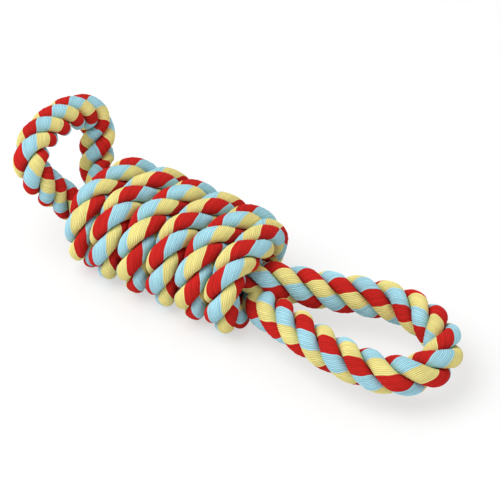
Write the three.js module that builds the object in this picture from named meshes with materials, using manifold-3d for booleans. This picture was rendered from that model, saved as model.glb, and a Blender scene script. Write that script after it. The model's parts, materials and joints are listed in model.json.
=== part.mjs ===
// Rope dog toy: one length of thick cotton rope, wound round its own doubled middle, with a long loop
// left standing out at the front and a short, wide loop standing up at the rear.
// Millimetres. +X runs along the winding to the front loop, +Y is the far side and +Z is up.
// The winding rests on z = 0, and the origin is the centre of its flattened underside.

import * as THREE from 'three';
import { mergeVertices } from 'three/addons/utils/BufferGeometryUtils.js';
import Module from 'manifold-3d';

// Rope thicknesses
const ROPE_D = 23.5;
const WRAP_D = 20.4;
const CORE_D = 19.6;

// Winding: whole laps behind and ahead of the origin, and then half a lap that ends on top
const LAPS_BEHIND = 3;
const LAPS_AHEAD = 2;
const TURN_GAP = 1.4;
const UNDERSIDE_FLAT = 1.8;

// Each turn is drawn back towards the rear as it crosses the top: by how much, and where in the lap
const DRAW_BACK = 4.5;
const DRAWN_AT = 0.48;
const DRAWN_REACH = 0.36;

// Clearances: REST_GAP between pieces that lie against each other, WRAP_CLEARANCE round the core
const REST_GAP = 0.3;
const WRAP_CLEARANCE = 0.6;

// Necks, where the loops leave the winding: how far past the end turns the loops start to bend
const FRONT_NECK_REACH = 15.1;
const FRONT_NECK_DROP = 2.5;
const REAR_NECK_REACH = 15;
const REAR_PITCH = 68;

// Where the front loop folds, and where the rear loop's legs meet its bow, measured from the neck
const FRONT_FOLD = 50;
const REAR_LEG = 24;

// Each loop's centreline as [along, across] from the neck, near side first, without the two roots
const FRONT_LOOP = [
  [14, -19.5], [31, -25], [50, -28.7], [67, -30.2], [84, -29.5], [98, -26], [108.7, -17],
  [114, -3.4], [110.4, 11.2], [99.4, 21.6], [84.5, 27.6], [67, 29.4], [50, 25], [31, 18], [14, 13.4],
];
const REAR_LOOP = [
  [8, -14.6], [16.5, -19.6], [25.5, -24.8], [34, -28.8], [41.8, -30], [48.4, -27.6], [53.2, -21.8], [55.7, -13.5],
  [56.2, -4], [55.8, 4.5], [54.4, 13], [51.6, 21], [47.6, 28], [42, 32.6], [35, 33.6], [28, 30.8],
  [20.5, 26], [13, 21.2], [7, 16.5],
];

// Facets
const WRAP_SIDES = 10;
const ROPE_SIDES = 12;
const ARC_STEPS = 10;
const LOOP_STEP = 7;
const DOME_RINGS = 3;

// Sizes that follow from the ones above
const ropeRadius = ROPE_D / 2;
const wrapRadius = WRAP_D / 2;
const coreRadius = CORE_D / 2;
const pitch = WRAP_D + TURN_GAP;
const coilRear = -LAPS_BEHIND * pitch;
const coilFront = (LAPS_AHEAD + 0.5) * pitch;
const coreOffset = coreRadius + REST_GAP / 2;
const bendRadius = coreRadius + WRAP_CLEARANCE + wrapRadius;
const lapLength = 4 * coreOffset + 2 * Math.PI * bendRadius;
const axisHeight = bendRadius + wrapRadius - UNDERSIDE_FLAT;
const rootOffset = ropeRadius + REST_GAP / 2;
const frontNeckX = coilFront + FRONT_NECK_REACH;
const rearNeckX = coilRear - REAR_NECK_REACH;

// Cotton dyed in three colours: the leading colour of each stretch
const COTTON_ROUGHNESS = 0.95;
const RED = 0xc4171d;
const YELLOW = 0xe2d06c;
const BLUE = 0x93c9de;

const wasm = await Module();
wasm.setup();

function cotton(color) {
  return new THREE.MeshStandardMaterial({ color, roughness: COTTON_ROUGHNESS, metalness: 0 });
}

function namedMesh(name, geometry, color) {
  geometry.computeVertexNormals();
  const mesh = new THREE.Mesh(geometry, cotton(color));
  mesh.name = name;
  return mesh;
}

// A ring is a centre, a radius and the two axes of its section, whose cross product runs along the rope.
function ring(center, u, v, radius) {
  return { center, u, v, radius };
}

// Rings that round an end off: way is -1 before the first ring and 1 after the last.
function domeRings(end, way) {
  const along = new THREE.Vector3().crossVectors(end.u, end.v).multiplyScalar(way);
  const rings = [];
  for (let i = 1; i <= DOME_RINGS; i += 1) {
    const angle = (i / (DOME_RINGS + 1)) * (Math.PI / 2);
    const center = end.center.clone().addScaledVector(along, end.radius * Math.sin(angle));
    rings.push(ring(center, end.u, end.v, end.radius * Math.cos(angle)));
  }
  const pole = end.center.clone().addScaledVector(along, end.radius);
  return { rings, pole };
}

// One closed tube through a list of rings. Each end is flat or a dome.
function tubeGeometry(rings, sides, { domeStart = false, domeEnd = false } = {}) {
  const first = rings[0];
  const last = rings[rings.length - 1];
  const start = domeStart ? domeRings(first, -1) : { rings: [], pole: first.center };
  const finish = domeEnd ? domeRings(last, 1) : { rings: [], pole: last.center };
  const all = [...start.rings.reverse(), ...rings, ...finish.rings];

  const positions = [];
  for (const { center, u, v, radius } of all) {
    for (let j = 0; j < sides; j += 1) {
      const angle = ((j + 0.5) / sides) * 2 * Math.PI;
      const point = center.clone();
      point.addScaledVector(u, radius * Math.cos(angle));
      point.addScaledVector(v, radius * Math.sin(angle));
      positions.push(point.x, point.y, point.z);
    }
  }
  const startPole = positions.length / 3;
  positions.push(start.pole.x, start.pole.y, start.pole.z);
  positions.push(finish.pole.x, finish.pole.y, finish.pole.z);

  const indices = [];
  for (let j = 0; j < sides; j += 1) {
    const next = (j + 1) % sides;
    indices.push(startPole, next, j);
    for (let i = 0; i + 1 < all.length; i += 1) {
      const here = i * sides;
      const ahead = here + sides;
      indices.push(here + j, here + next, ahead + j);
      indices.push(here + next, ahead + next, ahead + j);
    }
    const lastRing = (all.length - 1) * sides;
    indices.push(startPole + 1, lastRing + j, lastRing + next);
  }
  const geometry = new THREE.BufferGeometry();
  geometry.setAttribute('position', new THREE.Float32BufferAttribute(positions, 3));
  geometry.setIndex(indices);
  return geometry;
}

function toSolid(geometry) {
  const bare = geometry.clone();
  bare.deleteAttribute('normal');
  bare.deleteAttribute('uv');
  const merged = mergeVertices(bare);
  const vertProperties = new Float32Array(merged.attributes.position.array);
  const triVerts = new Uint32Array(merged.index.array);
  return new wasm.Manifold(new wasm.Mesh({ numProp: 3, vertProperties, triVerts }));
}

function toGeometry(solid) {
  const { vertProperties, triVerts } = solid.getMesh();
  const geometry = new THREE.BufferGeometry();
  geometry.setAttribute('position', new THREE.Float32BufferAttribute(vertProperties, 3));
  geometry.setIndex(new THREE.BufferAttribute(triVerts, 1));
  return geometry;
}

// Winding

// How far a turn lies towards the rear of an even winding, by its share of the lap.
function drawnBack(share) {
  const off = (share - DRAWN_AT) / DRAWN_REACH;
  return Math.abs(off) < 1 ? (DRAW_BACK * (1 + Math.cos(Math.PI * off))) / 2 : 0;
}

// The winding's line at a distance round a lap. A lap starts under the core, rises on the near side,
// crosses the top and falls on the far side, and each lap moves one pitch along X.
function windingPoint(lap, round) {
  const arc = Math.PI * bendRadius;
  const share = round / lapLength;
  const x = coilRear + pitch * (lap + share) - drawnBack(share);
  let y = -round;
  let z = -bendRadius;
  let outward = new THREE.Vector3(0, 0, -1);
  if (round > coreOffset && round <= coreOffset + arc) {
    const angle = (round - coreOffset) / bendRadius;
    outward = new THREE.Vector3(0, -Math.sin(angle), -Math.cos(angle));
    y = -coreOffset + bendRadius * outward.y;
    z = bendRadius * outward.z;
  } else if (round > coreOffset + arc && round <= 3 * coreOffset + arc) {
    outward = new THREE.Vector3(0, 0, 1);
    y = round - arc - 2 * coreOffset;
    z = bendRadius;
  } else if (round > 3 * coreOffset + arc && round <= 3 * coreOffset + 2 * arc) {
    const angle = (round - 3 * coreOffset - arc) / bendRadius;
    outward = new THREE.Vector3(0, Math.sin(angle), Math.cos(angle));
    y = coreOffset + bendRadius * outward.y;
    z = bendRadius * outward.z;
  } else if (round > 3 * coreOffset + 2 * arc) {
    y = lapLength - round;
  }
  return { center: new THREE.Vector3(x, y, z), outward };
}

// The distances round one lap at which the winding has a ring: its straights' ends and middles, and its arcs.
function lapStations() {
  const arc = Math.PI * bendRadius;
  const stations = [0, coreOffset];
  for (let i = 1; i <= ARC_STEPS; i += 1) {
    stations.push(coreOffset + (arc * i) / ARC_STEPS);
  }
  stations.push(2 * coreOffset + arc, 3 * coreOffset + arc);
  for (let i = 1; i <= ARC_STEPS; i += 1) {
    stations.push(3 * coreOffset + arc + (arc * i) / ARC_STEPS);
  }
  return stations;
}

// Both ends run straight for one rope diameter: the first under the core, the last over it.
function windingLine() {
  const tail = WRAP_D - coreOffset;
  const halfLap = lapLength / 2;
  const lastLap = LAPS_BEHIND + LAPS_AHEAD;
  const line = [];
  const startTail = windingPoint(0, 0);
  startTail.center.y += tail;
  startTail.center.x -= (pitch * tail) / lapLength;
  line.push(startTail);
  for (let lap = 0; lap <= lastLap; lap += 1) {
    for (const round of lapStations()) {
      if (lap < lastLap || round < halfLap) {
        line.push(windingPoint(lap, round));
      }
    }
  }
  const endTail = windingPoint(lastLap, halfLap);
  endTail.center.y += tail;
  endTail.center.x = windingPoint(lastLap, halfLap + tail).center.x;
  line.push(endTail);
  return line;
}

// Least distance between the surfaces of neighbouring turns, taken from points along the winding's line.
function leastTurnGap(line) {
  const curve = new THREE.CurvePath();
  for (let i = 0; i + 1 < line.length; i += 1) {
    curve.add(new THREE.LineCurve3(line[i].center, line[i + 1].center));
  }
  const count = (LAPS_BEHIND + LAPS_AHEAD) * 120;
  const points = curve.getSpacedPoints(count);
  const apart = Math.round((0.6 * lapLength * count) / curve.getLength());
  let least = Infinity;
  for (let i = 0; i < points.length; i += 1) {
    for (let j = i + apart; j < points.length; j += 1) {
      least = Math.min(least, points[i].distanceTo(points[j]));
    }
  }
  return least - WRAP_D;
}

function windingGeometry() {
  const line = windingLine();
  const rings = line.map(({ center, outward }, i) => {
    const before = line[Math.max(i - 1, 0)].center;
    const after = line[Math.min(i + 1, line.length - 1)].center;
    const along = new THREE.Vector3().subVectors(after, before).normalize();
    const side = new THREE.Vector3().crossVectors(along, outward).normalize();
    const out = new THREE.Vector3().crossVectors(side, along);
    return ring(center, out, side, wrapRadius);
  });
  console.log(`least gap between turns: ${leastTurnGap(line).toFixed(2)} mm`);

  const below = new THREE.BoxGeometry(4 * (coilFront - coilRear), 4 * (bendRadius + coreOffset), WRAP_D);
  below.translate(0, 0, -axisHeight - wrapRadius);
  return toGeometry(toSolid(tubeGeometry(rings, WRAP_SIDES)).subtract(toSolid(below)));
}

// Core: the two ropes that run side by side inside the winding, from neck to neck

function coreGeometry(side) {
  const ends = [rearNeckX + ropeRadius + REST_GAP, frontNeckX - ropeRadius - REST_GAP];
  const u = new THREE.Vector3(0, 1, 0);
  const v = new THREE.Vector3(0, 0, 1);
  const rings = ends.map((x) => ring(new THREE.Vector3(x, side * coreOffset, 0), u, v, coreRadius));
  return tubeGeometry(rings, ROPE_SIDES);
}

// Loops: each lies in the local XY plane of its neck, near leg first

function loopCurve(points) {
  const all = [[0, -rootOffset], ...points, [0, rootOffset]];
  return new THREE.CatmullRomCurve3(all.map(([along, across]) => new THREE.Vector3(along, across, 0)));
}

// Where along a loop's line, as a share of it, the near or the far leg is this far from the neck.
function shareAt(curve, along, farSide) {
  let low = 0;
  let high = 0.5;
  for (let i = 0; i < 40; i += 1) {
    const middle = (low + high) / 2;
    const reached = curve.getPointAt(farSide ? 1 - middle : middle).x;
    if (reached < along) {
      low = middle;
    } else {
      high = middle;
    }
  }
  return farSide ? 1 - low : low;
}

function loopTube(curve, from, to, domes) {
  const steps = Math.max(2, Math.ceil(((to - from) * curve.getLength()) / LOOP_STEP));
  const up = new THREE.Vector3(0, 0, 1);
  const rings = [];
  for (let i = 0; i <= steps; i += 1) {
    const share = from + ((to - from) * i) / steps;
    const along = curve.getTangentAt(share);
    const side = new THREE.Vector3().crossVectors(up, along).normalize();
    rings.push(ring(curve.getPointAt(share), side, up, ropeRadius));
  }
  return tubeGeometry(rings, ROPE_SIDES, domes);
}

// The near leg, bow and far leg of one loop. Legs end clear of the bow by legGap, measured along the rope.
function loopMeshes(name, points, split, legGap, bowGap, domedBow, color) {
  const curve = loopCurve(points);
  const length = curve.getLength();
  const near = shareAt(curve, split, false);
  const far = shareAt(curve, split, true);
  const nearLeg = loopTube(curve, 0, near - legGap / length, { domeStart: true });
  const bow = loopTube(curve, near + bowGap / length, far - bowGap / length, {
    domeStart: domedBow,
    domeEnd: domedBow,
  });
  const farLeg = loopTube(curve, far + legGap / length, 1, { domeEnd: true });
  return [
    namedMesh(`${name}_leg_near`, nearLeg, color),
    namedMesh(`${name}_bow`, bow, color),
    namedMesh(`${name}_leg_far`, farLeg, color),
  ];
}

// The front bow folds on its legs, so its ends are domes centred on the fold's axis.
function frontLoop() {
  const neck = new THREE.Group();
  neck.position.set(frontNeckX, 0, -FRONT_NECK_DROP);
  neck.add(...loopMeshes('front_loop', FRONT_LOOP, FRONT_FOLD, ropeRadius + REST_GAP, 0, true, YELLOW));
  return neck;
}

// The rear loop turns as one, so its bow meets its legs face to face.
function rearLoop() {
  const neck = new THREE.Group();
  neck.position.set(rearNeckX, 0, 0);
  neck.rotation.y = THREE.MathUtils.degToRad(REAR_PITCH - 180);
  neck.add(...loopMeshes('rear_loop', REAR_LOOP, REAR_LEG, REST_GAP / 2, REST_GAP / 2, false, BLUE));
  return neck;
}

const toy = new THREE.Group();
toy.position.z = axisHeight;
toy.add(namedMesh('coil_winding', windingGeometry(), RED));
toy.add(namedMesh('core_rope_near', coreGeometry(-1), RED));
toy.add(namedMesh('core_rope_far', coreGeometry(1), RED));
toy.add(frontLoop());
toy.add(rearLoop());

export default toy;
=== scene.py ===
"""Dresses a rope dog toy: cotton rope in three dyed colours, wound into a coil with a loop at each end."""

import json
import math

import bpy
import numpy as np
from bpy.props import FloatProperty, FloatVectorProperty, IntProperty, PointerProperty
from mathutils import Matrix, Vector


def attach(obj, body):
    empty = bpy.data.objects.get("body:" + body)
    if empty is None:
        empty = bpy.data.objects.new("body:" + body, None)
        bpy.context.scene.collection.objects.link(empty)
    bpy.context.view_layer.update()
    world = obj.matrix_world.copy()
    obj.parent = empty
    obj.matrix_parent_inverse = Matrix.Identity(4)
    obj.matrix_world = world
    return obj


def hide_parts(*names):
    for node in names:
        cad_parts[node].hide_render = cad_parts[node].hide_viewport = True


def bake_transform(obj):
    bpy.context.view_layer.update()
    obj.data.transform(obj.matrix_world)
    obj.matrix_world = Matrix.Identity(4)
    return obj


bl_info = {
    "name": "Rope Dog Toy",
    "version": (1, 0, 0),
    "blender": (4, 5, 0),
    "location": "3D View > Sidebar > Rope Toy",
    "description": "Lays the strands of a wound cotton rope dog toy",
    "category": "Object",
}

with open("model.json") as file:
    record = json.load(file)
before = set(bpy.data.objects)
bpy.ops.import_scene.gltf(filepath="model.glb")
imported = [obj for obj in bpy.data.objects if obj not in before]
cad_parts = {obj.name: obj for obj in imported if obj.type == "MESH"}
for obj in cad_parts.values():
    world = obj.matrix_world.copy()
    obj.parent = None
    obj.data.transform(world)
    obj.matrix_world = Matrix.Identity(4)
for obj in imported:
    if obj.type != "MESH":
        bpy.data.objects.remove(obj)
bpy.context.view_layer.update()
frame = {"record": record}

# Places that the frame gives: the two necks and the front loop's fold
JOINT_AT = {joint["name"]: Vector(joint["pos_m"]) for joint in frame["record"]["behaviour"]["joints"]}
FRONT_NECK = JOINT_AT["front_neck_bend"]
REAR_NECK = JOINT_AT["rear_neck_bend"]
AXIS_Z = REAR_NECK.z

# Core ropes: how far each lies from the middle, and where its two ends are
CORE_OFFSET = 0.00995
CORE_ENDS = (-0.046, 0.042)

# The loops' lines as (along, across) from the neck, near side first, in metres
FRONT_LOOP = [
    (0.014, -0.0195), (0.031, -0.0250), (0.050, -0.0287), (0.067, -0.0302), (0.084, -0.0295),
    (0.098, -0.0260), (0.1087, -0.0170), (0.114, -0.0034), (0.1104, 0.0112), (0.0994, 0.0216),
    (0.0845, 0.0276), (0.067, 0.0294), (0.050, 0.0250), (0.031, 0.0180), (0.014, 0.0134),
]
REAR_LOOP = [
    (0.008, -0.0146), (0.0165, -0.0196), (0.0255, -0.0248), (0.034, -0.0288), (0.0418, -0.0300),
    (0.0484, -0.0276), (0.0532, -0.0218), (0.0557, -0.0135), (0.0562, -0.0040), (0.0558, 0.0045),
    (0.0544, 0.0130), (0.0516, 0.0210), (0.0476, 0.0280), (0.042, 0.0326), (0.035, 0.0336),
    (0.028, 0.0308), (0.0205, 0.0260), (0.013, 0.0212), (0.007, 0.0165),
]
REAR_PITCH = math.radians(68)

# How each loop's ropes run on into the winding, as (x, y, z above the axis), from the inside out
FRONT_MOUTH_NEAR = [
    (0.038, 0.0085, -0.0005), (0.049, 0.0060, -0.0045), (0.0580, -0.0030, -0.0100),
    (0.0672, -0.0125, -0.0095), (0.0772, -0.0182, -0.0055),
]
FRONT_MOUTH_FAR = [
    (0.038, -0.0085, 0.0010), (0.0505, -0.0050, 0.0015), (0.0640, 0.0015, 0.0005),
    (0.0795, 0.0090, -0.0015),
]
REAR_MOUTH = [
    (-0.040, CORE_OFFSET, 0.0), (-0.052, CORE_OFFSET, 0.0), (-0.064, 0.0107, 0.0006),
    (-0.0748, 0.0133, 0.0046),
]

# Where the winding lets go of the loops' ropes: how far from the origin they start to swell, and are full
FRONT_SWELL = (0.046, 0.066)
REAR_SWELL = (0.052, 0.072)

# Winding: a racetrack round the two core ropes, which advances by one pitch a lap
WRAP_PITCH = 0.0218
WRAP_RADIUS = 0.0206
LAPS_BEHIND = 3
LAPS_AHEAD = 2.5

# Each turn is drawn back near its top: how far, at which share of the lap, and how far either side of it
DRAW_BACK = 0.0045
DRAWN_AT = 0.48
DRAWN_REACH = 0.36

# The winding's tails: the start's length, and the end's points with the winding's rings that lead into it
START_TAIL = 0.012
END_TAIL = [
    (0.0484, 0.0100, 0.0202), (0.0474, 0.0190, 0.0164), (0.0458, 0.0250, 0.0086),
    (0.0435, 0.0262, -0.0010),
]
END_LEAD = (-12, -6, -1)

# The first turn is pushed in and thinner, and the later ones lie further out, with the laps that this takes
FIRST_TURN_IN = 0.0042
FIRST_TURN_IN_LAPS = (0.1, 0.45)
FIRST_TURN_THIN = 0.0012
FIRST_TURN_THIN_LAPS = (0.3, 1.0)
LATER_TURNS_OUT = 0.0016
LATER_TURNS_OUT_LAPS = (0.5, 1.6)

# How far a wound rope may reach on the ends' free sides and outwards, and how gently it is pressed there
WRAP_FREE_SIDE = 0.0116
WRAP_SIDE_EASE = 0.004
WRAP_OUT_LIMIT = 0.0119
WRAP_OUT_EASE = 0.003

# How the strands lie in each stretch, as clock hours round the rope: where the first strand lies at the
# start, and where its red yarns begin when its twist is nought. The others are alike, a third of a turn on.
HOUR = math.radians(30)
FRONT_HOURS = (6.5, 0)
REAR_HOURS = (8, 10)
WRAP_HOURS = (1, 7.5)
CORE_HOURS = (0, 0)

# Strand section, in rope diameters: an ellipse held in the wedge that its two neighbours leave
STRANDS = 3
STRAND_CENTRE = 0.262
STRAND_RADIAL = 0.238
STRAND_ACROSS = 0.290
STRAND_SLACK = 0.985
WEDGE_SHARPNESS = 9.0
LEAST_SINE = 1e-3

# Yarns: the groove's share of its depth at each point across a yarn, and how unevenly the yarns are sunk
DYES = 3
POINTS_PER_YARN = 4
YARN_PROFILE = (1.0, 0.18, 0.0, 0.18)
YARN_UNEVEN = 0.35

# Slow swelling along a strand: its share of the size, the rings that it takes, and spare values at its end
SWELL_SHARE = 0.012
SWELL_RINGS = 14
SPARE_KNOTS = 4
LAST_KNOT_GAP = 1.001

# Seeds of each stretch's unevenness
WRAP_SEED = 7
FRONT_SEED = 8
REAR_SEED = 9
CORE_SEED = 10
STRAND_SEED_STEP = 31

# Mesh detail: the step between rings, the finer one that the rear loop's line starts from, the points to a
# span of a line, and the share by which a piece's end rings are drawn in
RING_STEP = 0.0013
FINE_STEP = 0.0003
LINE_FINENESS = 24
END_TUCK = 0.008

# Bends: how far out the rear loop's rings are evenly spaced, how much of a bend's radius the rope may fill
# and the share of that over which it is pressed, and the least bend per metre that counts as one
BEND_REACH = 0.0105
BEND_SHARE = 0.9
BEND_EASE = 0.5
LEAST_BEND = 1

# Maps: one along the yarns for their pattern, and one that unrolls the strands into rows on a square
PATTERN_MAP = "yarn_uv"
BAKE_MAP = "OFBake"
STRAND_GIRTH = 0.037
ROW_EDGE = 0.03
MAP_EDGE = 0.004
CUT_END_SPOT = 0.002

# Cotton's finish, and for each of its patterns the values that count and the tones that they turn into
COTTON_FINISH = {
    "Roughness": 0.95,
    "Specular IOR Level": 0.08,
    "Sheen Weight": 0.10,
    "Sheen Roughness": 0.6,
}
HALF_YARN = 0.5
# Painted shade: the line tones darken the dye towards the groove at each yarn's edge
GROOVE_SHADE_VALUES, GROOVE_SHADE_TONES = (0.25, HALF_YARN), (1.0, 0.56)
YARN_VALUES, YARN_TONES = (0, 1), (0.90, 1.06)
FIBRE_VALUES, FIBRE_TONES = (0.3, 0.7), (0.88, 1.10)
BLOTCH_VALUES, BLOTCH_TONES = (0.35, 0.65), (0.93, 1.05)
FIBRE_SCALE = (160, 6, 1)
SPIN_SCALE = (700, 1, 1)
SPIN_ANGLE = math.radians(40)
SPIN_SHARE = 0.35
BUMP_DEPTH = 0.0003

# Floor and key light
WHITE = (1, 1, 1, 1)
FLOOR_GREY = (0.86, 0.86, 0.86, 1)
FLOOR_WHITE_SHARE = 0.55
KEY_WIDTH = 1.2
KEY_PLACE = Vector((-0.35, -0.55, 1.25))
KEY_AIM = Vector((0.02, 0, 0.03))

# Photograph's view: its pixels to a metre at the winding's middle, and the pixel where that middle lies
IMAGE_SIDE = 500
VIEW_AZIMUTH = math.radians(34)
VIEW_ELEVATION = math.radians(41)
VIEW_DISTANCE = 1.8
PIXELS_PER_METRE = 1600
MIDDLE_POINT = Vector((-0.0109, 0, 0.029))
MIDDLE_PIXEL = (172.9, 238.8)
SENSOR_WIDTH = 36.0


class RopeSizes(bpy.types.PropertyGroup):
    """Sizes of the rope and how hard it is laid"""

    rope_diameter: FloatProperty(
        name="Loop rope", description="Thickness of the front loop's rope over its strands",
        default=0.0248, min=0.005, unit="LENGTH", precision=4,
    )
    rear_diameter: FloatProperty(
        name="Rear loop rope", description="Thickness of the rope in the rear loop",
        default=0.0228, min=0.005, unit="LENGTH", precision=4,
    )
    wrap_diameter: FloatProperty(
        name="Wound rope", description="Thickness of the wound rope, before its turns press together",
        default=0.0232, min=0.005, unit="LENGTH", precision=4,
    )
    core_diameter: FloatProperty(
        name="Core rope", description="Thickness of the rope where the winding squeezes it",
        default=0.0196, min=0.005, unit="LENGTH", precision=4,
    )
    lay: FloatProperty(
        name="Lay", description="Length of one full twist of the strands",
        default=0.053, min=0.02, unit="LENGTH", precision=4,
    )
    wrap_lay: FloatProperty(
        name="Wound lay", description="Length of one full twist in the winding",
        default=0.054, min=0.02, unit="LENGTH", precision=4,
    )
    rear_lay: FloatProperty(
        name="Rear lay", description="Length of one full twist in the rear loop, which is laid harder",
        default=0.044, min=0.02, unit="LENGTH", precision=4,
    )
    strand_twist: FloatProperty(
        name="Strand twist", description="Turns that each strand makes against the lay in one full twist",
        default=1.5, min=0.0, max=4.0,
    )
    wrap_strand_twist: FloatProperty(
        name="Wound strand twist", description="The same in the winding, where dyes shift from lap to lap",
        default=1.55, min=0.0, max=4.0,
    )
    rear_strand_twist: FloatProperty(
        name="Rear strand twist", description="The same in the rear loop, where the dyes run along it",
        default=2.0, min=0.0, max=4.0,
    )
    yarns: IntProperty(
        name="Yarns", description="Yarns that show round one strand", default=30, min=6, max=60,
    )
    yarn_depth: FloatProperty(
        name="Yarn depth", description="Depth of the grooves between the yarns",
        default=0.00045, min=0.0, unit="LENGTH", precision=5,
    )


class YarnColours(bpy.types.PropertyGroup):
    """Dyes of the cotton yarns, in the order in which they lie round a strand"""

    red: FloatVectorProperty(
        name="Red", description="Red dye", subtype="COLOR", size=3, min=0, max=1,
        default=(0.56, 0.020, 0.016),
    )
    blue: FloatVectorProperty(
        name="Blue", description="Light blue dye", subtype="COLOR", size=3, min=0, max=1,
        default=(0.37, 0.665, 0.765),
    )
    yellow: FloatVectorProperty(
        name="Yellow", description="Pale yellow dye", subtype="COLOR", size=3, min=0, max=1,
        default=(0.84, 0.74, 0.27),
    )


class StageSettings(bpy.types.PropertyGroup):
    """Light and floor round the toy"""

    floor_side: FloatProperty(
        name="Floor", description="Side of the square floor", default=6.0, min=1.0, unit="LENGTH",
    )
    key_power: FloatProperty(
        name="Key light", description="Power of the large soft light",
        default=12.5, min=0.0, subtype="POWER",
    )
    fill_strength: FloatProperty(
        name="Fill light", description="Strength of the light from all round", default=0.81, min=0.0,
    )


# Lines


def eased(values, low, high):
    """How far values have come from low to high, as 0 to 1 with a soft start and end."""
    share = np.clip((values - low) / (high - low), 0, 1)
    return share * share * (3 - 2 * share)


def step_lengths(line):
    """The distance from each point of a line to the next."""
    return np.linalg.norm(np.diff(line, axis=0), axis=1)


def distance_along(line):
    """How far along a line each of its points lies."""
    return np.concatenate([[0], np.cumsum(step_lengths(line))])


def tangents(line):
    """The direction of a line at each of its points."""
    along = np.gradient(line, axis=0)
    return along / np.linalg.norm(along, axis=1, keepdims=True)


def evenly_spaced(line, run, step):
    """The same line with its points about step apart, as run measures the distance along it."""
    at = np.linspace(0, run[-1], max(2, round(run[-1] / step) + 1))
    return np.stack([np.interp(at, run, line[:, i]) for i in range(3)], axis=1)


def even_steps(line, step):
    """The same line with its points an equal distance apart, close to step."""
    return evenly_spaced(line, distance_along(line), step)


def bend_steps(line, step, reach):
    """The same line with points step apart as measured at reach outside its bends."""
    turned = step_lengths(tangents(line))
    outside = np.concatenate([[0], np.cumsum(step_lengths(line) + reach * turned)])
    return evenly_spaced(line, outside, step)


def between(first, second, start, end, at):
    """The points that lie from first to second as the times at lie from start to end."""
    return (end - at) / (end - start) * first + (at - start) / (end - start) * second


def smooth_line(points, step):
    """A curve through points by centripetal Catmull-Rom spans, at even steps."""
    given = np.asarray(points, float)
    knots = np.vstack([2 * given[0] - given[1], given, 2 * given[-1] - given[-2]])
    gaps = np.sqrt(step_lengths(knots))
    spans = []
    for i in range(len(knots) - 3):
        near = knots[i:i + 4]
        times = np.concatenate([[0], np.cumsum(gaps[i:i + 3])])
        at = np.linspace(times[1], times[2], LINE_FINENESS, endpoint=False)[:, None]
        lines = [between(near[k], near[k + 1], times[k], times[k + 1], at) for k in range(3)]
        bows = [between(lines[k], lines[k + 1], times[k], times[k + 2], at) for k in range(2)]
        spans.append(between(bows[0], bows[1], times[1], times[2], at))
    return even_steps(np.vstack([*spans, given[-1:]]), step)


def untwisted_sides(line, first_side):
    """For each point of a line, a side direction that never turns about the line."""
    sides = np.empty_like(line)
    side = np.asarray(first_side, float)
    for i, ahead in enumerate(tangents(line)):
        side = side - ahead * (side @ ahead)
        side = side / np.linalg.norm(side)
        sides[i] = side
    return sides


def wave_noise(count, seed, reach):
    """A smooth random run of count values within -1 to 1, which changes over about reach steps."""
    knots = np.random.default_rng(seed).uniform(-1, 1, count // reach + SPARE_KNOTS)
    at = np.linspace(0, len(knots) - LAST_KNOT_GAP, count)
    low = at.astype(int)
    share = eased(at - low, 0, 1)
    return knots[low] * (1 - share) + knots[low + 1] * share


# Rope


def strand_reach(away):
    """How far a strand reaches from its middle, in rope diameters, at an angle from straight outwards."""
    ellipse = STRAND_RADIAL * STRAND_ACROSS / np.hypot(
        STRAND_ACROSS * np.cos(away), STRAND_RADIAL * np.sin(away)
    )
    half_wedge = math.pi / STRANDS
    turn = np.abs((away + math.pi) % (2 * math.pi) - math.pi)
    wedge = STRAND_CENTRE * math.sin(half_wedge) / np.clip(np.sin(turn - half_wedge), LEAST_SINE, None)
    power = WEDGE_SHARPNESS
    return STRAND_SLACK * (ellipse**-power + wedge**-power) ** (-1 / power)


def soft_limit(values, limit, ease):
    """values held within limit either way, easing in over the last stretch."""
    size = np.abs(values)
    start = limit - ease
    held = start + ease * np.tanh(np.clip(size - start, 0, None) / ease)
    return np.sign(values) * np.where(size > start, held, size)


def lay_angles(run, lay, strand_twist, hours):
    """The rope's twist at each distance along it, and how far each strand's yarns have turned there."""
    first_strand, red_start = hours
    twist = 2 * math.pi * run / lay + HOUR * first_strand
    turned = HOUR * red_start - strand_twist * twist
    return twist, [turned + 2 * math.pi * k / STRANDS for k in range(STRANDS)]


def strand_points(diameters, strand, laid, sizes, seed):
    """Rings of points on one strand of a rope, as u along the rope's sides and v across them."""
    around = sizes.yarns * POINTS_PER_YARN
    twist, turned = laid
    out = twist + 2 * math.pi * strand / STRANDS
    label = 2 * math.pi * np.arange(around) / around
    facing = label[None] + turned[strand][:, None]
    reach = strand_reach(facing - out[:, None]) * diameters[:, None]
    swell = 1 + SWELL_SHARE * wave_noise(len(diameters), seed + strand, SWELL_RINGS)
    groove = np.array(YARN_PROFILE)[np.arange(around) % POINTS_PER_YARN]
    rng = np.random.default_rng(seed + STRAND_SEED_STEP * strand)
    sunk = np.repeat(rng.uniform(-YARN_UNEVEN, YARN_UNEVEN, sizes.yarns), POINTS_PER_YARN)
    reach = reach * swell[:, None] - sizes.yarn_depth * (groove + sunk * (1 - groove))[None]
    centre = STRAND_CENTRE * diameters
    u = centre[:, None] * np.cos(out)[:, None] + reach * np.cos(facing)
    v = centre[:, None] * np.sin(out)[:, None] + reach * np.sin(facing)
    return u, v


def inside_of_bends(line, sides):
    """A way to flatten the rope's section so that it stops short of the middle of each bend."""
    along = tangents(line)
    bend = np.gradient(along, axis=0) / np.gradient(distance_along(line))[:, None]
    tightness = np.maximum(np.linalg.norm(bend, axis=1), LEAST_BEND)[:, None]
    inward_u = np.sum(bend * sides, axis=1)[:, None] / tightness
    inward_v = np.sum(bend * np.cross(along, sides), axis=1)[:, None] / tightness
    limit = BEND_SHARE / tightness

    def press(u, v):
        inward = u * inward_u + v * inward_v
        back = np.where(inward > 0, soft_limit(inward, limit, BEND_EASE * limit) - inward, 0)
        return u + back * inward_u, v + back * inward_v

    return press


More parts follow.
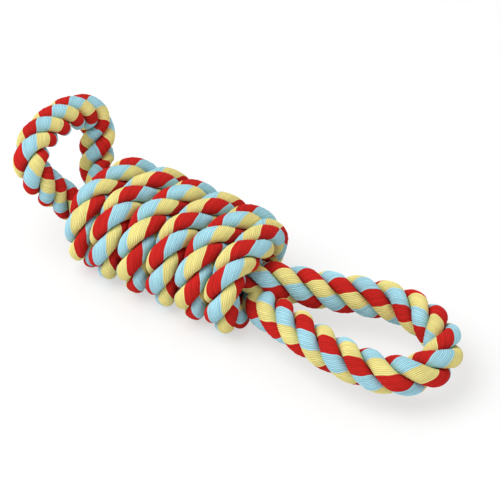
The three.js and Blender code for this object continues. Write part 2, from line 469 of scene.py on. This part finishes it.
def rope_strand(line, sides, diameters, strand, laid, sizes, seed, press):
    """The points of one strand in space. press flattens the rope's section: it takes and gives u and v."""
    u, v = press(*strand_points(diameters, strand, laid, sizes, seed))
    across = np.cross(tangents(line), sides)
    return line[:, None] + u[..., None] * sides[:, None] + v[..., None] * across[:, None]


def tube_faces(rings, around, first):
    """Quads of one open tube whose points start at index first."""
    i, j = np.meshgrid(np.arange(rings - 1), np.arange(around), indexing="ij")
    k = (j + 1) % around
    quads = np.stack([i * around + j, i * around + k, (i + 1) * around + k, (i + 1) * around + j], axis=-1)
    return first + quads.reshape(-1, 4)


def strand_faces(strands, rings, around):
    """The walls of all the strands, and the fans that close their ends on two added points each."""
    walls, fans = [], []
    for strand in range(strands):
        first = strand * rings * around
        last = first + (rings - 1) * around
        middle = strands * rings * around + 2 * strand
        walls += tube_faces(rings, around, first).tolist()
        for j in range(around):
            k = (j + 1) % around
            fans.append((first + k, first + j, middle))
            fans.append((last + j, last + k, middle + 1))
    return walls, fans


def wall_maps(strands, rings, around, run_step, first_ring):
    """Where the corners of the walls lie in the pattern's map, and in the map of unrolled strands."""
    wall = np.arange(strands * (rings - 1) * around)
    ring = (wall // around) % (rings - 1)
    strand = wall // (around * (rings - 1))
    next_ring = np.array([0, 0, 1, 1])
    next_label = np.array([0, 1, 1, 0])
    corner_label = (wall % around)[:, None] + next_label
    corner_run = (first_ring + ring[:, None] + next_ring) * run_step
    pattern = np.stack([corner_run, corner_label / POINTS_PER_YARN], axis=-1)

    rings_in_all = strands * (rings - 1)
    rows_for_square = max(1, round(math.sqrt(rings_in_all * run_step / STRAND_GIRTH)))
    per_row = math.ceil(rings_in_all / rows_for_square)
    rows_each = math.ceil((rings - 1) / per_row)
    row = strand * rows_each + ring // per_row
    u = MAP_EDGE + (1 - 2 * MAP_EDGE) * ((ring % per_row)[:, None] + next_ring) / per_row
    v = (row[:, None] + ROW_EDGE + (1 - 2 * ROW_EDGE) * corner_label / around) / (rows_each * strands)
    return pattern.reshape(-1, 2), np.stack([u, v], axis=-1).reshape(-1, 2)


def add_map(mesh, title, corners):
    """A map with the walls' corners as given, and the fans at the ends gathered on one spot."""
    layer = mesh.uv_layers.new(name=title)
    places = np.full((len(mesh.loops), 2), CUT_END_SPOT, np.float32)
    places[:len(corners)] = corners
    layer.uv.foreach_set("vector", places.ravel())


def strands_mesh(name, strands, yarns, run_step, first_ring):
    """One mesh of closed strands. Each yarn takes its dye as a material, and two maps follow the yarns."""
    rings, around = strands[0].shape[:2]
    walls, fans = strand_faces(len(strands), rings, around)
    middles = [np.stack([grid[0].mean(axis=0), grid[-1].mean(axis=0)]) for grid in strands]
    points = np.concatenate([*(grid.reshape(-1, 3) for grid in strands), *middles])
    mesh = bpy.data.meshes.new(name)
    mesh.from_pydata(points.tolist(), [], walls + fans)

    label = np.concatenate([np.arange(len(walls)), np.arange(len(fans)) // 2]) % around
    dye = (label // POINTS_PER_YARN) * DYES // yarns
    mesh.polygons.foreach_set("material_index", dye.astype(np.int32))
    mesh.polygons.foreach_set("use_smooth", np.arange(len(label)) < len(walls))
    pattern, unrolled = wall_maps(len(strands), rings, around, run_step, first_ring)
    add_map(mesh, PATTERN_MAP, pattern)
    add_map(mesh, BAKE_MAP, unrolled)
    mesh.uv_layers.active = mesh.uv_layers[PATTERN_MAP]
    mesh.update()
    return mesh


def new_piece(name, strands, sizes, run_step, first_ring=0):
    """A piece made of strands. first_ring is the ring of its line at which it starts."""
    mesh = strands_mesh(name, strands, sizes.yarns, run_step, first_ring)
    piece = bpy.data.objects.new(name, mesh)
    bpy.context.scene.collection.objects.link(piece)
    for material in yarn_materials():
        mesh.materials.append(material)
    return piece


def laid_rope(name, line, sides, diameters, laid, sizes, seed, span=None):
    """A piece of three-strand rope with tucked ends. span names its first and last point on the line."""
    first, last = span or (0, len(line) - 1)
    step = float(np.linalg.norm(line[1] - line[0]))
    press = inside_of_bends(line, sides)
    strands = []
    for k in range(STRANDS):
        grid = rope_strand(line, sides, diameters, k, laid, sizes, seed, press)[first:last + 1]
        for end in (0, -1):
            grid[end] += END_TUCK * (grid[end].mean(axis=0) - grid[end])
        strands.append(grid)
    return new_piece(name, strands, sizes, step, first)


# Cotton


def add_node(tree, kind, **values):
    """A new node with some of its inputs set."""
    node = tree.nodes.new(kind)
    for name, value in values.items():
        node.inputs[name.replace("_", " ")].default_value = value
    return node


def add_math(tree, operation, first, second=0):
    """A maths node's result. Each of its two inputs is a number or the socket that feeds it."""
    node = tree.nodes.new("ShaderNodeMath")
    node.operation = operation
    for place, value in enumerate((first, second)):
        if isinstance(value, bpy.types.NodeSocket):
            tree.links.new(value, node.inputs[place])
        else:
            node.inputs[place].default_value = value
    return node.outputs["Value"]


def tone_from(tree, source, values, tones):
    """Turns a run of values into a run of tones."""
    node = add_node(
        tree, "ShaderNodeMapRange",
        From_Min=values[0], From_Max=values[1], To_Min=tones[0], To_Max=tones[1],
    )
    tree.links.new(source, node.inputs["Value"])
    return node.outputs["Result"]


def yarn_tones_and_groove_shade(tree, yarn_place):
    """Painted shade along the grooves between the yarns, and a tone for each yarn."""
    parts = tree.nodes.new("ShaderNodeSeparateXYZ")
    tree.links.new(yarn_place, parts.inputs["Vector"])
    across_yarn = add_math(tree, "FRACT", parts.outputs["Y"])
    from_middle = add_math(tree, "ABSOLUTE", add_math(tree, "SUBTRACT", across_yarn, HALF_YARN))
    uneven = tree.nodes.new("ShaderNodeTexWhiteNoise")
    uneven.noise_dimensions = "1D"
    tree.links.new(add_math(tree, "FLOOR", parts.outputs["Y"]), uneven.inputs["W"])
    # Painted shade: the dye is darkest in the groove between two yarns
    groove_shade_tone = tone_from(tree, from_middle, GROOVE_SHADE_VALUES, GROOVE_SHADE_TONES)
    yarn_tone = tone_from(tree, uneven.outputs["Value"], YARN_VALUES, YARN_TONES)
    return add_math(tree, "MULTIPLY", groove_shade_tone, yarn_tone)


def fibre_noise(tree, yarn_place):
    """Fine streaks along the yarns."""
    stretch = add_node(tree, "ShaderNodeMapping", Scale=FIBRE_SCALE)
    tree.links.new(yarn_place, stretch.inputs["Vector"])
    fibres = add_node(tree, "ShaderNodeTexNoise", Scale=1.0, Detail=4.0, Roughness=0.6)
    tree.links.new(stretch.outputs["Vector"], fibres.inputs["Vector"])
    return fibres.outputs["Fac"]


def blotch_tone(tree):
    """Slow changes of tone over the rope."""
    place = tree.nodes.new("ShaderNodeTexCoord")
    blotches = add_node(tree, "ShaderNodeTexNoise", Scale=70.0, Detail=3.0)
    tree.links.new(place.outputs["Object"], blotches.inputs["Vector"])
    return tone_from(tree, blotches.outputs["Fac"], BLOTCH_VALUES, BLOTCH_TONES)


def spun_relief(tree, yarn_place, fibres):
    """The relief of spun yarn: slanting ridges with the fibres on them."""
    slant = add_node(tree, "ShaderNodeMapping", Scale=SPIN_SCALE, Rotation=(0, 0, SPIN_ANGLE))
    tree.links.new(yarn_place, slant.inputs["Vector"])
    spin = add_node(tree, "ShaderNodeTexWave", Scale=0.35, Distortion=2.5, Detail=2.0)
    tree.links.new(slant.outputs["Vector"], spin.inputs["Vector"])
    ridges = add_math(tree, "MULTIPLY", spin.outputs["Fac"], SPIN_SHARE)
    bump = add_node(tree, "ShaderNodeBump", Strength=0.4, Distance=BUMP_DEPTH)
    tree.links.new(add_math(tree, "ADD", ridges, fibres), bump.inputs["Height"])
    return bump.outputs["Normal"]


def cotton(name, colour):
    """Spun cotton of one dye, made once: uneven yarns with painted shade in the grooves between them,
    fibres and blotches.
    """
    material = bpy.data.materials.get(name)
    if material:
        return material
    material = bpy.data.materials.new(name)
    material.use_nodes = True
    material.diffuse_color = (*colour, 1)
    tree = material.node_tree
    shader = tree.nodes["Principled BSDF"]
    shader.inputs["Sheen Tint"].default_value = (*colour, 1)
    for title, value in COTTON_FINISH.items():
        shader.inputs[title].default_value = value

    yarn_map = tree.nodes.new("ShaderNodeUVMap")
    yarn_map.uv_map = PATTERN_MAP
    yarn_place = yarn_map.outputs["UV"]
    fibres = fibre_noise(tree, yarn_place)
    fibre_tone = tone_from(tree, fibres, FIBRE_VALUES, FIBRE_TONES)
    fine_tone = add_math(tree, "MULTIPLY", fibre_tone, blotch_tone(tree))
    # The tones hold painted shade in the grooves between yarns, as well as the cotton's own uneven tones
    tone = add_math(tree, "MULTIPLY", yarn_tones_and_groove_shade(tree, yarn_place), fine_tone)
    dyed = tree.nodes.new("ShaderNodeVectorMath")
    dyed.operation = "SCALE"
    dyed.inputs[0].default_value = colour
    tree.links.new(tone, dyed.inputs["Scale"])
    tree.links.new(dyed.outputs["Vector"], shader.inputs["Base Color"])
    tree.links.new(spun_relief(tree, yarn_place, fibres), shader.inputs["Normal"])
    return material


def yarn_materials():
    """The three dyed cottons, in the order in which they lie round a strand."""
    dyes = bpy.context.scene.rope_toy_colours
    return [
        cotton("red_yarn", dyes.red[:]),
        cotton("blue_yarn", dyes.blue[:]),
        cotton("yellow_yarn", dyes.yellow[:]),
    ]


# Stretches of the toy's rope


def rope_sizes():
    return bpy.context.scene.rope_toy_sizes


def above_axis(points):
    """Points whose heights count from the winding's axis, as places in space."""
    return [(x, y, AXIS_Z + z) for x, y, z in points]


def mouth_diameters(line, swell, full):
    """Rope thickness along a loop's line: thin where the winding squeezes it, full past the mouth."""
    thin = rope_sizes().core_diameter
    return thin + (full - thin) * eased(np.abs(line[:, 0]), *swell)


def front_line():
    """The front loop's line. Its ropes cross as they leave the winding, so mouths stand in for its ends."""
    loop = [(FRONT_NECK.x + along, across, FRONT_NECK.z) for along, across in FRONT_LOOP[1:-1]]
    near, far = above_axis(FRONT_MOUTH_NEAR), above_axis(FRONT_MOUTH_FAR)
    return smooth_line(near + loop + far[::-1], RING_STEP)


def rear_line():
    """The rear loop's line. The mouths round off its corner, in place of the points at its roots."""
    back, up = math.cos(REAR_PITCH), math.sin(REAR_PITCH)
    loop = [(REAR_NECK.x - along * back, across, AXIS_Z + along * up) for along, across in REAR_LOOP[1:-1]]
    far = above_axis(REAR_MOUTH)
    near = [(x, -y, z) for x, y, z in far]
    return bend_steps(smooth_line(near + loop + far[::-1], FINE_STEP), RING_STEP, BEND_REACH)


def first_turn_in(laps):
    """How far the first turn is pushed in against the second, up its near side."""
    return FIRST_TURN_IN * (1 - eased(laps, *FIRST_TURN_IN_LAPS))


def winding_turns():
    """The winding's line, its outward sides and how many laps each point lies from the start."""
    arc = math.pi * WRAP_RADIUS
    lap = 4 * CORE_OFFSET + 2 * arc
    total = (LAPS_BEHIND + LAPS_AHEAD) * lap
    run = np.linspace(0, total, round(total / RING_STEP) + 1)
    laps = run / lap
    round_lap = run % lap
    near_turn = np.clip((round_lap - CORE_OFFSET) / WRAP_RADIUS, 0, math.pi)
    far_turn = np.clip((round_lap - 3 * CORE_OFFSET - arc) / WRAP_RADIUS, 0, math.pi)
    turn = near_turn + far_turn
    outward = np.stack([np.zeros_like(turn), -np.sin(turn), -np.cos(turn)], axis=1)
    low = -np.clip(round_lap, 0, CORE_OFFSET)
    top = np.clip(round_lap - CORE_OFFSET - arc, 0, 2 * CORE_OFFSET)
    under = -np.clip(round_lap - 3 * CORE_OFFSET - 2 * arc, 0, CORE_OFFSET)
    off = np.clip((laps % 1 - DRAWN_AT) / DRAWN_REACH, -1, 1)
    drawn_back = DRAW_BACK * (1 + np.cos(math.pi * off)) / 2
    radius = WRAP_RADIUS + LATER_TURNS_OUT * eased(laps, *LATER_TURNS_OUT_LAPS)
    line = outward * radius[:, None]
    line[:, 0] = WRAP_PITCH * (laps - LAPS_BEHIND) - drawn_back + first_turn_in(laps)
    line[:, 1] += low + top + under
    line[:, 2] += AXIS_Z
    return line, outward, laps


def winding_line():
    """The same with the winding's tails: a straight start, and an end tucked down the far side."""
    line, outward, laps = winding_turns()
    back = (line[0] - line[1]) / np.linalg.norm(line[0] - line[1])
    start = even_steps(np.stack([line[0] + back * START_TAIL, line[0]]), RING_STEP)[:-1]
    end = smooth_line([*(line[i] for i in END_LEAD), *above_axis(END_TAIL)], RING_STEP)
    past = int(np.argmin(np.linalg.norm(end - line[-1], axis=1))) + 1
    end = end[past:]
    whole = np.vstack([start, line, end])
    end_sides = untwisted_sides(np.vstack([line[-1:], end]), outward[-1])[1:]
    sides = np.vstack([np.repeat(outward[:1], len(start), axis=0), outward, end_sides])
    along = tangents(whole)
    sides = sides - along * np.sum(sides * along, axis=1, keepdims=True)
    sides = sides / np.linalg.norm(sides, axis=1, keepdims=True)
    all_laps = np.concatenate([np.zeros(len(start)), laps, np.full(len(end), laps[-1])])
    return whole, sides, all_laps


def pressed_turns(line, laps):
    """A way to flatten the wound rope's section against the turns beside it, and on its outside."""
    half = WRAP_PITCH / 2 * np.sqrt(1 - tangents(line)[:, 0] ** 2)
    last_turn = laps > LAPS_BEHIND + LAPS_AHEAD - 1
    ahead = np.where(last_turn, WRAP_FREE_SIDE, half - first_turn_in(laps))[:, None]
    behind = np.where(laps < 1, WRAP_FREE_SIDE, half)[:, None]

    def press(u, v):
        held = soft_limit(v, np.where(v > 0, ahead, behind), WRAP_SIDE_EASE)
        return soft_limit(u, WRAP_OUT_LIMIT, WRAP_OUT_EASE), held

    return press


class ROPETOY_OT_winding(bpy.types.Operator):
    """Wind the outer rope round the core, one piece for each strand"""

    bl_idname = "rope_toy.winding"
    bl_label = "Winding"

    def execute(self, context):
        sizes = rope_sizes()
        line, sides, laps = winding_line()
        diameters = sizes.wrap_diameter - FIRST_TURN_THIN * (1 - eased(laps, *FIRST_TURN_THIN_LAPS))
        laid = lay_angles(distance_along(line), sizes.wrap_lay, sizes.wrap_strand_twist, WRAP_HOURS)
        press = pressed_turns(line, laps)
        for k, slot in enumerate(("red_cotton", "yellow_cotton", "blue_cotton")):
            grid = rope_strand(line, sides, diameters, k, laid, sizes, WRAP_SEED, press)
            grid[..., 2] = np.maximum(grid[..., 2], 0.0)
            piece = new_piece(f"winding_strand_{k + 1}", [grid], sizes, RING_STEP)
            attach(piece, "coil")
            if k == 0:
                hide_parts("coil_winding")
        return {"FINISHED"}


class ROPETOY_OT_core_ropes(bpy.types.Operator):
    """Lay the two ropes that run through the winding"""

    bl_idname = "rope_toy.core_ropes"
    bl_label = "Core ropes"

    def execute(self, context):
        sizes = rope_sizes()
        for side, name in ((-1, "near"), (1, "far")):
            ends = np.array([[x, side * CORE_OFFSET, AXIS_Z] for x in CORE_ENDS])
            line = even_steps(ends, RING_STEP)
            sides = untwisted_sides(line, (0, 0, 1))
            diameters = np.full(len(line), sizes.core_diameter)
            laid = lay_angles(distance_along(line), sizes.lay, sizes.strand_twist, CORE_HOURS)
            piece = laid_rope(f"core_rope_{name}_strands", line, sides, diameters, laid, sizes, CORE_SEED)
            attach(piece, "coil")
            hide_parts(f"core_rope_{name}")
        return {"FINISHED"}


class ROPETOY_OT_front_loop(bpy.types.Operator):
    """Lay the long front loop as three pieces: two legs, and a bow between them"""

    bl_idname = "rope_toy.front_loop"
    bl_label = "Front loop"

    split: FloatProperty(
        name="Split", description="Where the legs end and the bow begins, from the neck",
        default=0.025, unit="LENGTH",
    )
    neck_reach: FloatProperty(
        name="Neck reach", description="Half the length of rope that bends at the neck",
        default=0.016, unit="LENGTH",
    )
    fold_reach: FloatProperty(
        name="Fold reach", description="Half the length of rope that bends at the fold",
        default=0.022, unit="LENGTH",
    )

    def execute(self, context):
        sizes = rope_sizes()
        line = front_line()
        sides = untwisted_sides(line, (0, 0, 1))
        diameters = mouth_diameters(line, FRONT_SWELL, sizes.rope_diameter)
        laid = lay_angles(distance_along(line), sizes.lay, sizes.strand_twist, FRONT_HOURS)
        past = np.flatnonzero(line[:, 0] > FRONT_NECK.x + self.split)
        near_end, far_start = int(past[0]), int(past[-1])
        spans = {
            "front_leg_near_strands": (0, near_end + 1),
            "front_bow_strands": (near_end - 1, far_start + 1),
            "front_leg_far_strands": (far_start - 1, len(line) - 1),
        }
        pieces = {
            name: laid_rope(name, line, sides, diameters, laid, sizes, FRONT_SEED, span)
            for name, span in spans.items()
        }
        for side in ("near", "far"):
            leg = pieces[f"front_leg_{side}_strands"]
            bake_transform(leg)
            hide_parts(f"front_loop_leg_{side}")
        bow = pieces["front_bow_strands"]
        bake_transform(bow)
        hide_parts("front_loop_bow")
        return {"FINISHED"}


class ROPETOY_OT_rear_loop(bpy.types.Operator):
    """Lay the short rear loop as one piece"""

    bl_idname = "rope_toy.rear_loop"
    bl_label = "Rear loop"

    bend_start: FloatProperty(
        name="Bend start", description="How far inside the neck the rope starts to bend",
        default=0.018, unit="LENGTH",
    )
    bend_end: FloatProperty(
        name="Bend end", description="How far up the loop the rope stops bending",
        default=0.020, unit="LENGTH",
    )

    def execute(self, context):
        sizes = rope_sizes()
        line = rear_line()
        sides = untwisted_sides(line, (0, 0, 1))
        diameters = mouth_diameters(line, REAR_SWELL, sizes.rear_diameter)
        laid = lay_angles(distance_along(line), sizes.rear_lay, sizes.rear_strand_twist, REAR_HOURS)
        piece = laid_rope("rear_loop_strands", line, sides, diameters, laid, sizes, REAR_SEED)
        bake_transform(piece)
        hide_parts("rear_loop_leg_near", "rear_loop_leg_far", "rear_loop_bow")
        return {"FINISHED"}


# Stage


def pale_floor():
    """White for the camera, with about half of the shade that falls on it left to show."""
    material = bpy.data.materials.new("pale_floor")
    material.use_nodes = True
    tree = material.node_tree
    nodes, links = tree.nodes, tree.links
    nodes.remove(nodes["Principled BSDF"])
    matt = add_node(tree, "ShaderNodeBsdfDiffuse", Color=FLOOR_GREY)
    white = add_node(tree, "ShaderNodeEmission", Color=WHITE, Strength=1.0)
    path = nodes.new("ShaderNodeLightPath")
    seen = add_math(tree, "MAXIMUM", path.outputs["Is Camera Ray"], path.outputs["Is Glossy Ray"])
    mix = nodes.new("ShaderNodeMixShader")
    links.new(add_math(tree, "MULTIPLY", seen, FLOOR_WHITE_SHARE), mix.inputs["Fac"])
    links.new(matt.outputs["BSDF"], mix.inputs[1])
    links.new(white.outputs["Emission"], mix.inputs[2])
    links.new(mix.outputs["Shader"], nodes["Material Output"].inputs["Surface"])
    return material


def studio_light(settings):
    """White light from all round, and one large soft lamp above."""
    world = bpy.data.worlds.new("studio")
    world.use_nodes = True
    background = world.node_tree.nodes["Background"]
    background.inputs["Color"].default_value = WHITE
    background.inputs["Strength"].default_value = settings.fill_strength
    bpy.context.scene.world = world
    key = bpy.data.lights.new("key", "AREA")
    key.shape = "DISK"
    key.size = KEY_WIDTH
    key.energy = settings.key_power
    lamp = bpy.data.objects.new("key", key)
    lamp.location = KEY_PLACE
    lamp.rotation_euler = (KEY_AIM - KEY_PLACE).to_track_quat("-Z", "Y").to_euler()
    bpy.context.scene.collection.objects.link(lamp)


def photograph_camera(scene):
    """A long lens that puts the winding's middle on its pixel of the photograph."""
    azimuth, elevation = VIEW_AZIMUTH, VIEW_ELEVATION
    back = Vector((
        math.sin(azimuth) * math.cos(elevation),
        -math.cos(azimuth) * math.cos(elevation),
        math.sin(elevation),
    ))
    right = Vector((math.cos(azimuth), math.sin(azimuth), 0))
    up = back.cross(right)
    off_right = (IMAGE_SIDE / 2 - MIDDLE_PIXEL[0]) / PIXELS_PER_METRE
    off_down = (IMAGE_SIDE / 2 - MIDDLE_PIXEL[1]) / PIXELS_PER_METRE
    target = MIDDLE_POINT + right * off_right - up * off_down
    lens = bpy.data.cameras.new("photograph")
    lens.sensor_width = SENSOR_WIDTH
    lens.lens = SENSOR_WIDTH * PIXELS_PER_METRE * VIEW_DISTANCE / IMAGE_SIDE
    camera = bpy.data.objects.new("photograph", lens)
    camera.location = target + back * VIEW_DISTANCE
    camera.rotation_euler = (-back).to_track_quat("-Z", "Y").to_euler()
    scene.collection.objects.link(camera)
    scene.camera = camera


class ROPETOY_OT_stage(bpy.types.Operator):
    """Set the floor, the soft studio light and the camera at the photograph's angle"""

    bl_idname = "rope_toy.stage"
    bl_label = "Stage"

    def execute(self, context):
        settings = context.scene.rope_toy_stage
        bpy.ops.object.select_all(action="DESELECT")
        bpy.ops.mesh.primitive_plane_add(size=settings.floor_side)
        floor = context.active_object
        floor.name = "floor"
        floor.data.materials.append(pale_floor())
        studio_light(settings)
        photograph_camera(context.scene)
        context.scene.view_settings.view_transform = "Standard"
        return {"FINISHED"}


class ROPETOY_PT_panel(bpy.types.Panel):
    """Sizes, dyes and pieces of the rope toy"""

    bl_label = "Rope Dog Toy"
    bl_idname = "ROPETOY_PT_panel"
    bl_space_type = "VIEW_3D"
    bl_region_type = "UI"
    bl_category = "Rope Toy"

    def draw(self, context):
        layout = self.layout
        scene = context.scene
        for group in (scene.rope_toy_sizes, scene.rope_toy_colours, scene.rope_toy_stage):
            box = layout.box()
            for name in group.__annotations__:
                box.prop(group, name)
        for operator in OPERATORS:
            layout.operator(operator.bl_idname)


OPERATORS = (
    ROPETOY_OT_stage,
    ROPETOY_OT_front_loop,
    ROPETOY_OT_rear_loop,
    ROPETOY_OT_core_ropes,
    ROPETOY_OT_winding,
)
CLASSES = (RopeSizes, YarnColours, StageSettings, *OPERATORS, ROPETOY_PT_panel)


def register():
    for cls in CLASSES:
        bpy.utils.register_class(cls)
    bpy.types.Scene.rope_toy_sizes = PointerProperty(type=RopeSizes)
    bpy.types.Scene.rope_toy_colours = PointerProperty(type=YarnColours)
    bpy.types.Scene.rope_toy_stage = PointerProperty(type=StageSettings)


def unregister():
    del bpy.types.Scene.rope_toy_stage
    del bpy.types.Scene.rope_toy_colours
    del bpy.types.Scene.rope_toy_sizes
    for cls in reversed(CLASSES):
        bpy.utils.unregister_class(cls)


def main():
    register()
    bpy.ops.rope_toy.stage()
    bpy.ops.rope_toy.front_loop()
    bpy.ops.rope_toy.rear_loop()
    bpy.ops.rope_toy.core_ropes()
    bpy.ops.rope_toy.winding()


if __name__ == "__main__":
    main()
